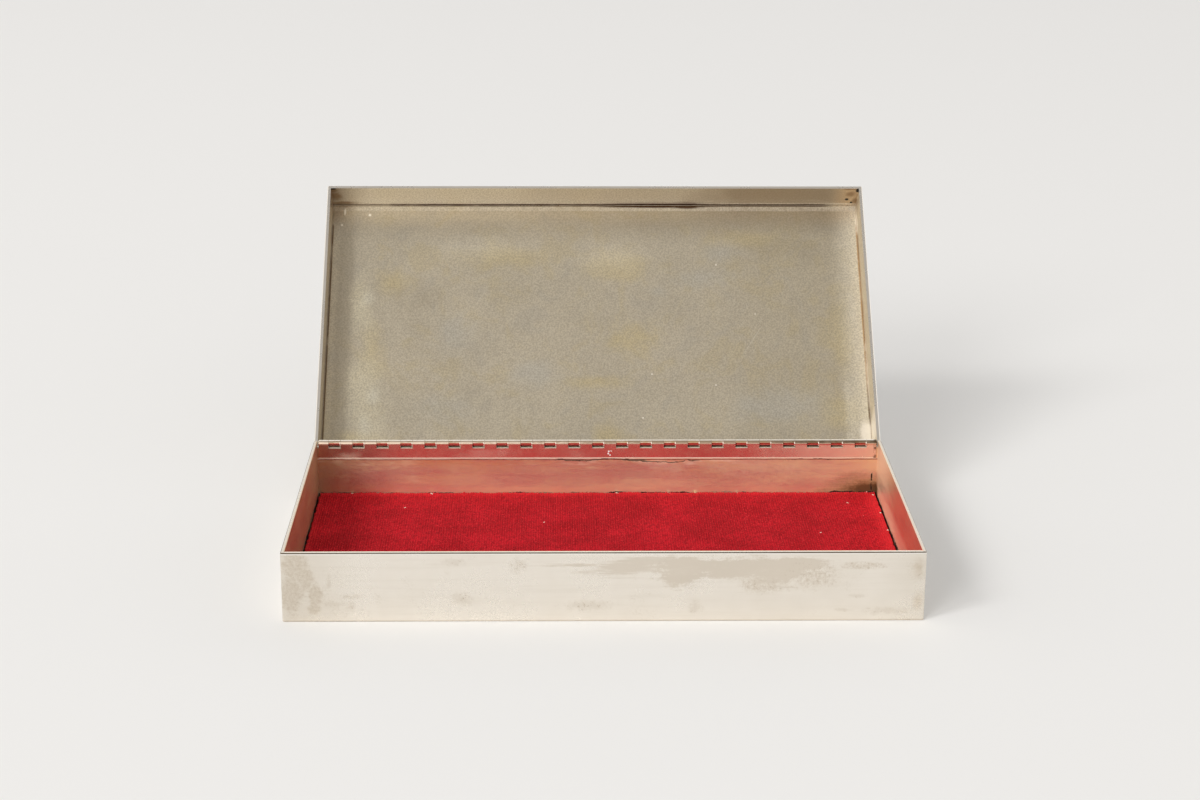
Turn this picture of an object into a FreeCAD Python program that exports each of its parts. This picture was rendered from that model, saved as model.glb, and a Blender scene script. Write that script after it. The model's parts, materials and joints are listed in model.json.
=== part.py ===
import FreeCAD, Part
import math
import os
import Sketcher

# A shallow oblong lidded box of soldered sheet metal. The base and the lid are trays of four mitred walls
# round an inset plate. A continuous hinge runs the whole inner width: each leaf is soldered inside its back
# wall and rolled backwards round one pin. The base holds a card with a velvet lining. The lid is shown open,
# at the stop where the lower back corners of its side walls meet the back of the base.
#
# Row frame: X along the box, Y from front to back, Z up, origin under the middle of the base.
# Hinge frame, used by the hinge and the lid: the same directions with the lid closed, origin on the pin.

DRIVING_SIZES = {
    "box_length": 190.0,      # outer length, along X
    "box_depth": 103.5,       # outer depth, along Y
    "base_height": 21.8,      # base, floor to rim
    "lid_height": 12.2,       # lid, rim to outer top
    "wall": 1.2,              # sheet of the walls
    "plate": 1.2,             # sheet of the bottom and top plates
    "corner_round": 0.6,      # upright outer corners
    "edge_round": 0.4,        # lower edge of the base, upper edge of the lid
    "rim_bevel": 0.3,         # bevel on the outer edge of the rims
    "seam_bevel": 0.2,        # groove left along the soldered plates, inside
    "rim_gap": 0.09,          # between the rims when the lid is shut
    "leaf": 0.31,             # sheet of the hinge leaves
    "leaf_drop": 5.0,         # from the pin's axis to the edge of a leaf
    "leaf_bevel": 0.15,       # bevel on the long edge of a leaf
    "barrel_width": 2.35,     # outside of the rolled knuckles
    "lip_gap": 0.3,           # between the end of the roll and the flat strip
    "pin_clear": 0.03,        # between the pin and the inside of a knuckle
    "pin_proud": 0.2,         # the pin beyond the last knuckle, each end
    "pin_bevel": 0.15,        # bevel on the pin's ends
    "end_clear": 0.5,         # from the end of a leaf to the side wall
    "barrel_clear": 0.13,     # from the barrel to the back walls' notches
    "base_slots": 23,         # notches in the base's leaf, one for each knuckle of the lid
    "end_share": 0.325,       # length of a leaf beyond that many pitches, in pitches
    "slot_width": 4.1,        # each notch in the base's leaf
    "knuckle_clear": 0.12,    # between neighbouring knuckles
    "slot_clear": 0.05,       # from a knuckle of the base to the floor of its notch in the lid
    "open_angle": 135.5,      # lid, from shut to its stop
    "stop_spare": 3.0,        # degrees from there to hard contact
    "card": 1.3,              # card under the velvet
    "card_margin": 0.7,       # from the card to the walls
    "velvet": 1.3,            # velvet with its pile
    "velvet_margin": 0.45,    # from the velvet to the walls
    "velvet_round": 0.4,      # soft upper edge of the velvet
}

# What follows from the driving sizes, as expressions on the sheet.
HALF_LENGTH = "Sizes.box_length / 2"
HALF_DEPTH = "Sizes.box_depth / 2"
BARREL = "(Sizes.barrel_width / 2)"
BORE = "(Sizes.barrel_width / 2 - Sizes.leaf)"
INSET = "(Sizes.wall + Sizes.leaf - Sizes.barrel_width / 2)"
LID_RIM = f"({INSET} * tan((Sizes.open_angle + Sizes.stop_spare) / 2))"
AXIS_Y = f"(Sizes.box_depth / 2 - {INSET})"
AXIS_Z = f"(Sizes.base_height - {LID_RIM} + Sizes.rim_gap)"
LID_TOP = f"({LID_RIM} + Sizes.lid_height)"
LEAF_LENGTH = "(Sizes.box_length - 2 * Sizes.wall - 2 * Sizes.end_clear)"
PITCH = f"({LEAF_LENGTH} / (Sizes.base_slots + Sizes.end_share))"
LID_SLOT = f"({PITCH} - Sizes.slot_width + 2 * Sizes.knuckle_clear)"
NOTCH_DEPTH = f"({BARREL} + Sizes.barrel_clear)"
LID_SLOT_DEPTH = f"sqrt(({BARREL} + Sizes.slot_clear) ^ 2 - {BORE} ^ 2)"
CORNER_SIDE = "Sizes.corner_round * (1 - cos(45))"
BORE_FLATS = 12

doc = FreeCAD.newDocument("stamp_box")
sizes = doc.addObject("Spreadsheet::Sheet", "Sizes")
for row, (alias, value) in enumerate(DRIVING_SIZES.items(), start=1):
    sizes.set(f"A{row}", alias)
    sizes.set(f"B{row}", str(value))
    sizes.setAlias(f"B{row}", alias)
doc.recompute()


def number(expression):
    """The present value of an expression, as a plain number."""
    value = sizes.evalExpression(expression)
    return float(getattr(value, "Value", value))


def new_body(name):
    body = doc.addObject("PartDesign::Body", name)
    body.Label = name
    return body


def origin_part(body, role):
    return next(item for item in body.Origin.OriginFeatures if item.Role == role)


def new_sketch(body, name, plane, level=None):
    """A sketch on one of the body's own planes, raised by the expression level."""
    sketch = body.newObject("Sketcher::SketchObject", name)
    sketch.AttachmentSupport = [(origin_part(body, plane), "")]
    sketch.MapMode = "FlatFace"
    if level is not None:
        sketch.setExpression(".AttachmentOffset.Base.z", level)
    return sketch


def pin_down(sketch, curve, end, across=None, up=None):
    """Hold one end of a curve at expressions measured from the sketch's origin."""
    for kind, expression in (("DistanceX", across), ("DistanceY", up)):
        if expression is None:
            continue
        value = number(expression)
        if value < 0:
            ends, expression = (curve, end, -1, 1), f"-({expression})"
        else:
            ends = (-1, 1, curve, end)
        index = sketch.addConstraint(Sketcher.Constraint(kind, *ends, abs(value)))
        sketch.setExpression(f"Constraints[{index}]", expression)


def close_loop(sketch, curves):
    """Join each curve's end to the next curve's start. A curve is (index, start, end)."""
    for (first, _, end), (second, start, _) in zip(curves, curves[1:] + curves[:1]):
        sketch.addConstraint(Sketcher.Constraint("Coincident", first, end, second, start))


def add_line(sketch, start, end):
    """A straight side between two (across, up) pairs of expressions."""
    points = [FreeCAD.Vector(number(across), number(up), 0) for across, up in (start, end)]
    return sketch.addGeometry(Part.LineSegment(*points), False)


def add_arc(sketch, centre, radius, from_angle, to_angle, held=True):
    """An arc counter-clockwise between two angles, in degrees, its radius held unless its ends do that."""
    middle = FreeCAD.Vector(number(centre[0]), number(centre[1]), 0)
    circle = Part.Circle(middle, FreeCAD.Vector(0, 0, 1), number(radius))
    arc = Part.ArcOfCircle(circle, math.radians(from_angle), math.radians(to_angle))
    index = sketch.addGeometry(arc, False)
    if held:
        constraint = sketch.addConstraint(Sketcher.Constraint("Radius", index, number(radius)))
        sketch.setExpression(f"Constraints[{constraint}]", radius)
    return index


def add_polygon(sketch, corners, closing_arc=None):
    """Sides through (across, up) pairs of expressions, each corner held. An arc may be the last side."""
    sides = []
    for corner, following in zip(corners, corners[1:]):
        sides.append((add_line(sketch, corner, following), 1, 2))
    sides.append(closing_arc or (add_line(sketch, corners[-1], corners[0]), 1, 2))
    close_loop(sketch, sides)
    for (side, start, _), (across, up) in zip(sides[:len(corners)], corners):
        pin_down(sketch, side, start, across, up)


def add_rectangle(sketch, left, low, right, high):
    add_polygon(sketch, [(left, low), (right, low), (right, high), (left, high)])


def pad(body, name, sketch, length, symmetric=False):
    feature = body.newObject("PartDesign::Pad", name)
    feature.Profile = sketch
    feature.setExpression("Length", length)
    feature.Midplane = symmetric
    doc.recompute()
    return feature


def cut(body, name, sketch, length=None):
    """A pocket both ways from its sketch, through all of the body unless a length is given."""
    before = body.Shape.Volume
    feature = body.newObject("PartDesign::Pocket", name)
    feature.Profile = sketch
    feature.Midplane = True
    if length:
        feature.setExpression("Length", length)
    else:
        feature.Type = "ThroughAll"
    doc.recompute()
    if not feature.Shape.Volume < before:
        raise RuntimeError(f"{name} cuts nothing")
    return feature


def dress(body, kind, name, base, edges, size_name, size):
    """A fillet or chamfer on the given edges of a feature."""
    feature = body.newObject(f"PartDesign::{kind}", name)
    feature.Base = (base, edges)
    feature.setExpression(size_name, size)
    doc.recompute()
    return feature


def edges_where(feature, test):
    """The names of the edges whose ends and middle all pass the test."""
    names = []
    for index, edge in enumerate(feature.Shape.Edges, start=1):
        middle = edge.valueAt((edge.FirstParameter + edge.LastParameter) / 2)
        if all(test(point) for point in [vertex.Point for vertex in edge.Vertexes] + [middle]):
            names.append(f"Edge{index}")
    return names


def place_on_axis(body, opened):
    """Put a body drawn in the hinge frame on the pin's axis, turned open if it belongs to the lid."""
    body.Placement = FreeCAD.Placement(
        FreeCAD.Vector(0, 0, 0), FreeCAD.Rotation(FreeCAD.Vector(-1, 0, 0), 90 if opened else 0)
    )
    body.setExpression(".Placement.Base.y", AXIS_Y)
    body.setExpression(".Placement.Base.z", AXIS_Z)
    if opened:
        body.setExpression(".Placement.Rotation.Angle", "Sizes.open_angle")


# Each wall is drawn along (its own length, inwards), measured from the middle of its outer face. A tray is
# (how high it starts, how tall it is, the y of its front face, the y of its back face, its rim's height).
BASE_TRAY = ("0", "Sizes.base_height", f"-{HALF_DEPTH}", HALF_DEPTH, "Sizes.base_height")
LID_TRAY = (LID_RIM, "Sizes.lid_height", f"({INSET} - Sizes.box_depth)", INSET, LID_RIM)


def wall_place(side, tray):
    """Functions from (along, inwards) to the tray's (x, y), as expressions, and half the wall's length."""
    _, _, front, back, _ = tray
    middle = f"({front} + {back}) / 2"
    places = {
        "front": (lambda along, inwards: (along, f"{front} + {inwards}"), HALF_LENGTH),
        "back": (lambda along, inwards: (f"-({along})", f"{back} - ({inwards})"), HALF_LENGTH),
        "right": (lambda along, inwards: (f"{HALF_LENGTH} - ({inwards})", f"{middle} + {along}"), HALF_DEPTH),
        "left": (lambda along, inwards: (f"{inwards} - {HALF_LENGTH}", f"{middle} - ({along})"), HALF_DEPTH),
    }
    return places[side]


def add_mitred_outline(sketch, side, tray):
    """A wall seen from above: both ends mitred at 45 degrees, the outer corners rounded."""
    place, half = wall_place(side, tray)
    turn = {"front": 0, "right": 90, "back": 180, "left": 270}[side]
    near, deep = "Sizes.corner_round", "Sizes.wall"
    outer_0 = place(f"{near} - {half}", "0")
    outer_1 = place(f"{half} - {near}", "0")
    mitre_1 = place(f"{half} - {CORNER_SIDE}", CORNER_SIDE)
    inner_1 = place(f"{half} - {deep}", deep)
    inner_0 = place(f"{deep} - {half}", deep)
    mitre_0 = place(f"{CORNER_SIDE} - {half}", CORNER_SIDE)
    centre_1 = place(f"{half} - {near}", near)
    centre_0 = place(f"{near} - {half}", near)
    face = add_line(sketch, outer_0, outer_1)
    corner_1 = add_arc(sketch, centre_1, near, turn - 90, turn - 45)
    end_1 = add_line(sketch, mitre_1, inner_1)
    inside = add_line(sketch, inner_1, inner_0)
    end_0 = add_line(sketch, inner_0, mitre_0)
    corner_0 = add_arc(sketch, centre_0, near, turn - 135, turn - 90)
    loop = [face, corner_1, end_1, inside, end_0, corner_0]
    close_loop(sketch, [(curve, 1, 2) for curve in loop])
    for curve, point in zip(loop, (outer_0, outer_1, mitre_1, inner_1, inner_0, mitre_0)):
        pin_down(sketch, curve, 1, *point)


def outer_edges(feature, side, tray, height):
    """The edges of a wall's outer face and rounded corners that lie at one height."""
    level = number(height)
    _, _, front, back, _ = tray
    reach = number(CORNER_SIDE) + 1e-4
    outward = {
        "front": lambda point: point.y - number(front),
        "back": lambda point: number(back) - point.y,
        "right": lambda point: number(HALF_LENGTH) - point.x,
        "left": lambda point: point.x + number(HALF_LENGTH),
    }[side]
    return edges_where(feature, lambda point: abs(point.z - level) < 1e-4 and outward(point) < reach)


def make_wall(name, side, tray, round_height):
    """A mitred wall: its outer edge away from the rim is rounded, and its rim bevelled except at the back."""
    start, height, _, _, rim = tray
    body = new_body(name)
    plan = new_sketch(body, f"{name}_plan", "XY_Plane", start)
    add_mitred_outline(plan, side, tray)
    feature = pad(body, f"{name}_pad", plan, height)
    edges = outer_edges(feature, side, tray, round_height)
    feature = dress(body, "Fillet", f"{name}_round", feature, edges, "Radius", "Sizes.edge_round")
    if side != "back":
        edges = outer_edges(feature, side, tray, rim)
        dress(body, "Chamfer", f"{name}_bevel", feature, edges, "Size", "Sizes.rim_bevel")
    return body


def notch_back_wall(body, floor, beyond):
    """Cut the rim of a back wall down to clear the barrel, between the side walls."""
    sketch = new_sketch(body, f"{body.Name}_notch", "XZ_Plane")
    edge = f"({HALF_LENGTH} - Sizes.wall)"
    low, high = sorted((floor, beyond), key=number)
    add_rectangle(sketch, f"-{edge}", low, edge, high)
    cut(body, f"{body.Name}_notch_cut", sketch)


def make_plate(name, front, back, outer_face, inner_face):
    """A plate between the walls, with the seam's groove round its inner face."""
    body = new_body(name)
    low, high = sorted((outer_face, inner_face), key=number)
    sketch = new_sketch(body, f"{name}_plan", "XY_Plane", low)
    edge = f"({HALF_LENGTH} - Sizes.wall)"
    add_rectangle(sketch, f"-{edge}", f"{front} + Sizes.wall", edge, f"{back} - Sizes.wall")
    feature = pad(body, f"{name}_pad", sketch, f"{high} - {low}")
    level = number(inner_face)
    edges = edges_where(feature, lambda point: abs(point.z - level) < 1e-4)
    dress(body, "Chamfer", f"{name}_seam", feature, edges, "Size", "Sizes.seam_bevel")
    return body


def add_leaf_section(sketch, flat_below):
    """A leaf on end: the flat strip, then the roll round the pin. The base's strip hangs below the axis."""
    sign, over = ("-1", "1") if flat_below else ("1", "-1")
    edge, bevel = "Sizes.leaf_drop", "Sizes.leaf_bevel"
    # The roll ends just behind the flat strip, on one ray from the pin's axis.
    lip = f"({BORE} - Sizes.lip_gap)"
    lip_level = f"sqrt({BARREL} ^ 2 - {lip} ^ 2)"
    corners = [
        (f"-{BARREL}", "0"),
        (f"-{BARREL}", f"{sign} * ({edge} - {bevel})"),
        (f"{bevel} - {BARREL}", f"{sign} * {edge}"),
        (f"-{BORE}", f"{sign} * {edge}"),
    ]
    # Inside, the roll is drawn in flats that touch the bore, which keeps so many knuckles light.
    step = f"((180 deg + acos(-{lip} / {BARREL})) / {BORE_FLATS})"
    for flat in range(BORE_FLATS):
        turn = f"(({flat} + 0.5) * {step})"
        reach = f"{BORE} / cos({step} / 2)"
        corners.append((f"-{reach} * cos({turn})", f"{over} * {reach} * sin({turn})"))
    corners.append((f"-{lip} * {BORE} / {BARREL}", f"{sign} * {lip_level} * {BORE} / {BARREL}"))
    corners.append((f"-{lip}", f"{sign} * {lip_level}"))
    roll = math.degrees(math.atan2(number(lip_level), -number(lip)))
    outer = add_arc(sketch, ("0", "0"), BARREL, *((-roll, 180) if flat_below else (-180, roll)), held=False)
    add_polygon(sketch, corners, (outer, 1, 2) if flat_below else (outer, 2, 1))
    pin_down(sketch, outer, 3, None, "0")


def make_leaf(name, flat_below, slot_count, slot_width, slot_depth):
    """A hinge leaf: its section drawn out to length, then notched for the other leaf's knuckles."""
    body = new_body(name)
    section = new_sketch(body, f"{name}_section", "YZ_Plane")
    add_leaf_section(section, flat_below)
    pad(body, f"{name}_pad", section, LEAF_LENGTH, symmetric=True)
    # Each notch takes the whole roll and stops at its floor in the flat strip.
    slot = new_sketch(body, f"{name}_slot", "YZ_Plane", f"(1 - {slot_count}) / 2 * {PITCH}")
    sign, far = ("-1" if flat_below else "1"), "Sizes.barrel_width"
    add_polygon(slot, [
        (f"-{far}", f"{sign} * {slot_depth}"),
        (f"-{BORE}", f"{sign} * {slot_depth}"),
        (f"-{BORE}", f"{sign} * {far}"),
        (far, f"{sign} * {far}"),
        (far, f"-1 * {sign} * {far}"),
        (f"-{far}", f"-1 * {sign} * {far}"),
    ])
    notch = cut(body, f"{name}_slot_cut", slot, slot_width)
    row = body.newObject("PartDesign::LinearPattern", f"{name}_slots")
    row.Originals = [notch]
    row.Direction = (origin_part(body, "X_Axis"), [""])
    row.setExpression("Length", f"({slot_count} - 1) * {PITCH}")
    row.setExpression("Occurrences", slot_count)
    body.Tip = row
    doc.recompute()
    return body


def make_pin(name):
    """One wire through all the knuckles, turned about the hinge's axis, its ends bevelled."""
    body = new_body(name)
    sketch = new_sketch(body, f"{name}_section", "XY_Plane")
    end = f"({LEAF_LENGTH} / 2 + Sizes.pin_proud)"
    radius, bevel = f"({BORE} - Sizes.pin_clear)", "Sizes.pin_bevel"
    add_polygon(sketch, [
        (f"-{end}", "0"),
        (end, "0"),
        (end, f"{radius} - {bevel}"),
        (f"{end} - {bevel}", radius),
        (f"{bevel} - {end}", radius),
        (f"-{end}", f"{radius} - {bevel}"),
    ])
    turned = body.newObject("PartDesign::Revolution", f"{name}_turned")
    turned.Profile = sketch
    turned.ReferenceAxis = (origin_part(body, "X_Axis"), [""])
    turned.Angle = 360
    doc.recompute()
    return body


def make_lining(name, start, thickness, margin, soft_edge=None):
    """A layer laid on the bottom plate, clear of the walls all round."""
    body = new_body(name)
    sketch = new_sketch(body, f"{name}_plan", "XY_Plane", start)
    across = f"({HALF_LENGTH} - Sizes.wall - {margin})"
    along = f"({HALF_DEPTH} - Sizes.wall - {margin})"
    add_rectangle(sketch, f"-{across}", f"-{along}", across, along)
    feature = pad(body, f"{name}_pad", sketch, thickness)
    if soft_edge:
        top = number(f"{start} + {thickness}")
        edges = edges_where(feature, lambda point: abs(point.z - top) < 1e-4)
        dress(body, "Fillet", f"{name}_edge", feature, edges, "Radius", soft_edge)
    return body


parts = []

# The base.
for side in ("front", "right", "back", "left"):
    parts.append(make_wall(f"base_{side}_wall", side, BASE_TRAY, "0"))
    if side == "back":
        notch_back_wall(parts[-1], f"{AXIS_Z} - {NOTCH_DEPTH}", "Sizes.base_height + Sizes.wall")
parts.append(make_plate("base_bottom_plate", f"-{HALF_DEPTH}", HALF_DEPTH, "0", "Sizes.plate"))
parts.append(make_lining("lining_card", "Sizes.plate", "Sizes.card", "Sizes.card_margin"))
velvet_start = "Sizes.plate + Sizes.card"
parts.append(make_lining("velvet_lining", velvet_start, "Sizes.velvet", "Sizes.velvet_margin",
                         "Sizes.velvet_round"))

# The hinge.
hinge_leaf = make_leaf("base_hinge_leaf", True, "Sizes.base_slots", "Sizes.slot_width", NOTCH_DEPTH)
pin = make_pin("hinge_pin")
for body in (hinge_leaf, pin):
    place_on_axis(body, opened=False)
parts += [hinge_leaf, pin]

# The lid, drawn shut and then turned to its stop.
lid = []
for side in ("front", "right", "back", "left"):
    lid.append(make_wall(f"lid_{side}_wall", side, LID_TRAY, LID_TOP))
    if side == "back":
        notch_back_wall(lid[-1], NOTCH_DEPTH, "0")
lid.append(make_plate("lid_top_plate", LID_TRAY[2], LID_TRAY[3], LID_TOP, f"({LID_TOP} - Sizes.plate)"))
lid.append(make_leaf("lid_hinge_leaf", False, "(Sizes.base_slots + 1)", LID_SLOT, LID_SLOT_DEPTH))
for body in lid:
    place_on_axis(body, opened=True)
parts += lid

doc.recompute()

for item in doc.Objects:
    if "Invalid" in item.State or "Error" in item.State:
        raise RuntimeError(f"{item.Name} failed: {item.State}")
for body in parts:
    shape = body.Shape
    if shape.isNull() or not shape.isValid() or len(shape.Solids) != 1:
        raise RuntimeError(f"{body.Label} isn't one valid solid")

os.makedirs("parts", exist_ok=True)
for body in parts:
    body.Shape.exportStep(f"parts/{body.Label}.step")
    box = body.Shape.BoundBox
    print(f"{body.Label}: {body.Shape.Volume:.1f} mm3, y {box.YMin:.2f} to {box.YMax:.2f},"
          f" z {box.ZMin:.2f} to {box.ZMax:.2f}")
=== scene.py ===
import json
import math

import bpy
from mathutils import Matrix, Vector, noise


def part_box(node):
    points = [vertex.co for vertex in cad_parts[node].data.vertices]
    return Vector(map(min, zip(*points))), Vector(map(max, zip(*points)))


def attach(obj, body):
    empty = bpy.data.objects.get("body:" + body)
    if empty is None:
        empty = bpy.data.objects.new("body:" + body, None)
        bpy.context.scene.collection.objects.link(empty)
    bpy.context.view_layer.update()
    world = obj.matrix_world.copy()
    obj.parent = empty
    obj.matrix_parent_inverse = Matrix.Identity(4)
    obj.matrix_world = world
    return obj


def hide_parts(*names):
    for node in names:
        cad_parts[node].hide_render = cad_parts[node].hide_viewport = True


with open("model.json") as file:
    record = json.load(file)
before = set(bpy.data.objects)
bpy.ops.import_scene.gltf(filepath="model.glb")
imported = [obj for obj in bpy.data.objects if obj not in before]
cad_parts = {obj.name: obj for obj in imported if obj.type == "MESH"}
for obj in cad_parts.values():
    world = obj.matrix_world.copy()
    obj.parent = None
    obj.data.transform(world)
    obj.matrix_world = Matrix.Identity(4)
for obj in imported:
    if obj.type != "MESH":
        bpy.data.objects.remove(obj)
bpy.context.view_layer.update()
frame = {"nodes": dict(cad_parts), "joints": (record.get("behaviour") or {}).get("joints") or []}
nodes = frame["nodes"]


# --------------------------------------------------------------------------------------------------- places
# Lengths are in metres, and in mm where a comment says so.

MM = 0.001

# The hinge: its axis, how far the lid turns, its knuckles, and the leaf of the base.
HINGE = frame["joints"][0]
AXIS = Vector(HINGE["pos_m"])
OPEN = math.radians(HINGE["range_deg"][1])
PITCH = 0.008
HALF_KNUCKLE = 0.00199
BARREL = 0.001175
NOTCH_DROP = 0.001305
LEAF_DROP = 0.005

# The base's walls: the thickness of the sheet, their outer and inner faces and their rim.
front_low, front_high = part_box("base_front_wall")
SHEET = front_high.y - front_low.y
OUT_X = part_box("base_right_wall")[1].x
OUT_Y = -front_low.y
RIM = front_high.z
IN_X = OUT_X - SHEET
IN_Y = OUT_Y - SHEET

# The shut lid, measured from the hinge's axis: heights of its rim and of the inside of its plate, and how far
# the insides of its back and front walls lie in front of the axis.
RIM_GAP = 0.00009
LID_HEIGHT = 0.0122
LID_RIM = RIM + RIM_GAP - AXIS.z
LID_PLATE = LID_RIM + LID_HEIGHT - SHEET
LID_NEAR = SHEET - (OUT_Y - AXIS.y)
LID_FAR = OUT_Y + AXIS.y - SHEET

# The soldered seam below the base's leaf, and the velvet with its ribs.
SEAM = AXIS.z - LEAF_DROP - 0.000176
velvet_low, velvet_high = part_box("velvet_lining")
RIB = 0.00078


def on_front(*spots):
    """Spots on the base's front wall or leaf, given in mm as (x, z, radius along x, radius along z)."""
    return [((x * MM, 0, z * MM), (rx * MM, None, rz * MM)) for x, z, rx, rz in spots]


def on_plate(*spots):
    """Spots on the lid's plate, given in mm as (x, distance from the hinge, radius, radius)."""
    return [((x * MM, -v * MM, 0), (rx * MM, rv * MM, None)) for x, v, rx, rv in spots]


def on_strip(*spots):
    """Spots on the lid's front wall, given in mm as (x, height above the hinge, radius, radius)."""
    return [((x * MM, 0, h * MM), (rx * MM, None, rh * MM)) for x, h, rx, rh in spots]


def on_floor(*spots):
    """Round spots on the velvet, given in mm as (x, y, radius)."""
    return [((x * MM, y * MM, 0), (r * MM, r * MM, None)) for x, y, r in spots]


# Marks on the outside of the base's front: a dulled patch with its streak and broken end, a bow at the left
# end, clusters of specks, and the browned right corner.
STREAK = on_front((-8, 17.8, 12, 1.0), (6, 16.8, 15, 3.2), (14, 18.9, 14, 1.8))
DULLED = on_front((23, 15.9, 10, 5.6), (36, 17.2, 30, 3.0), (38, 16.2, 12, 4.4), (49, 15.6, 13, 5.4),
                  (57, 18.0, 12, 2.9))
BROKEN = on_front((46, 11.4, 9, 3.0), (62, 14.5, 10, 5.2), (76, 17.4, 8, 1.5))
BOW = on_front((-91.0, 17.5, 5.0, 6.0), (-87.6, 13.2, 3.0, 4.4), (-85.0, 8.8, 2.4, 5.0),
               (-85.6, 3.8, 2.6, 2.2), (-92.0, 9.0, 4.4, 9.0))
CLUSTERS = on_front((-79.5, 5.6, 4.4, 1.3), (-74.6, 4.8, 2.6, 2.2), (-74.0, 7.9, 4.4, 1.2),
                    (-81.0, 13.0, 0.9, 4.0), (-44.0, 18.8, 4.5, 1.8), (-42.0, 7.2, 4.2, 3.0),
                    (-25.0, 17.6, 3.4, 3.2), (27.0, 4.6, 3.2, 2.8), (74.5, 7.9, 3.5, 0.9),
                    (70.5, 3.5, 3.5, 0.8), (78.3, 3.9, 1.2, 0.5), (93.0, 16.5, 2.0, 4.5),
                    (-5.0, 5.0, 10.0, 2.4), (84.0, 3.0, 8.0, 1.6))
BROWN_CORNER = on_front((92.5, 17, 3.4, 4.5), (93, 6, 2.4, 5))

# The scorch in the hollow's back right corner. The parts of the dark line above the seam: (middle, half and
# softness along x), height above the seam, (half and softness of its width).
SCORCH = ((0.0925, 0.0505, 0.0040), (0.024, 0.0065, 0.0095))
CRACKS = (((0.001, 0.014, 0.002), 0.00159, (0.00012, 0.00012)),
          ((0.021, 0.011, 0.003), 0.00123, (0.00010, 0.00010)),
          ((0.068, 0.009, 0.002), 0.00182, (0.00006, 0.00008)))

# Marks inside the lid, among them spots of painted highlight and of painted shade.
YELLOW = on_plate((-78, 42, 7, 12), (-84, 8, 10, 6), (-72, 70, 9, 8), (8, 76, 20, 9), (14, 48, 12, 10),
                  (0, 30, 14, 4), (3, 8, 6, 9), (84, 18, 9, 9), (86, 45, 6, 20), (-30, 80, 24, 8),
                  (55, 88, 16, 6))
COOL = on_plate((-20, 33, 12, 7), (-54, 20, 12, 8), (33, 71, 17, 7), (22, 66, 9, 5), (-50, 50, 10, 14),
                (60, 20, 22, 10), (45, 82, 12, 5))
WARM = on_plate((-80.5, 24, 9, 34), (-79, 16, 10, 14), (-82, 60, 6, 18))
WARMEST = on_plate((-79.5, 13, 4, 7), (-77, 24, 4, 6), (-80, 63, 4, 4))
HIGHLIGHT_SPOTS = on_plate((6, 80, 26, 10), (-40, 84, 30, 8))
DIM = on_plate((64, 84, 24, 12), (-60, 62, 14, 14))
SCRATCHED = on_plate((-44, 55, 16, 26), (55, 45, 14, 20))
THICK_SEAM = on_plate((22, 101.6, 26, 1.1), (32, 101.5, 8, 1.4))
LEFT_STAIN = on_strip((-93.5, 2.0, 3.6, 3.2), (-92.5, 6.0, 3.2, 4.5), (-90.5, 10.5, 8.0, 1.6))
RIGHT_STAIN = on_strip((91.2, 4.5, 2.4, 2.8), (93.2, 8.8, 1.6, 3.0), (90.6, 1.4, 3.2, 0.8))
LEFT_BLACK = on_strip((-93.3, 1.3, 1.8, 0.7))
RIGHT_BLACK = on_strip((90.2, 7.9, 0.8, 0.9), (92.0, 9.9, 0.6, 0.7), (93.6, 2.0, 0.9, 1.6))
SEAM_SOLDER = [((0.0928, -0.0090, 0.0112), (0.0042, 0.0080, None)),
               ((0.0937, -0.030, 0.0112), (0.0006, 0.03, 0.0012)),
               ((0.0937, -0.094, 0.0112), (0.0008, 0.0075, 0.0016))]
PLATE_SOLDER = on_plate((-89.5, 99.0, 0.5, 1.8), (-90.4, 93.5, 0.5, 0.6), (-80.6, 97.7, 0.6, 0.7),
                        (42.7, 76.9, 0.35, 0.4), (55.8, 56.8, 0.3, 0.35), (19.1, 32.8, 0.5, 0.3),
                        (41.1, 28.5, 0.35, 0.35), (15.7, 15.7, 0.4, 0.4))

# Marks on the base's leaf, and crumbs on the velvet.
LEAF_PALE = on_front((-83.5, 17.0, 5.5, 1.8))
LEAF_SOLDER = on_front((3.6, 18.5, 0.45, 0.38), (3.4, 17.7, 0.40, 0.32), (4.3, 18.6, 0.3, 0.25),
                       (4.0, 17.2, 0.3, 0.3))
CRUMBS = on_floor((-82.5, 49.6, 0.6), (-55.8, 49.0, 0.5), (6.4, 49.7, 0.7), (23.7, 49.7, 0.5),
                  (32.8, 49.8, 0.6), (46.7, 49.7, 0.5), (92.4, 47.6, 0.45), (90.6, 49.6, 0.35),
                  (92.9, 30.5, 0.6), (93.0, 14.0, 0.5), (71.0, 12.0, 0.35), (40.0, -20.0, 0.35),
                  (-18.0, 22.0, 0.35), (-64.0, 36.0, 0.4), (83.0, 40.0, 0.4))

# Colours that more than one layer takes, or that the layers are laid over. All colours are linear.
SILVER = (0.90, 0.845, 0.765)
DULL = (0.70, 0.635, 0.535)
TARNISH = (0.58, 0.50, 0.38)
FILLET = (0.88, 0.78, 0.62)
LEAF_METAL = (0.985, 0.80, 0.64)
SCARLET = (0.86, 0.035, 0.045)


# --------------------------------------------------------------------------------------------- shader tools

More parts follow.
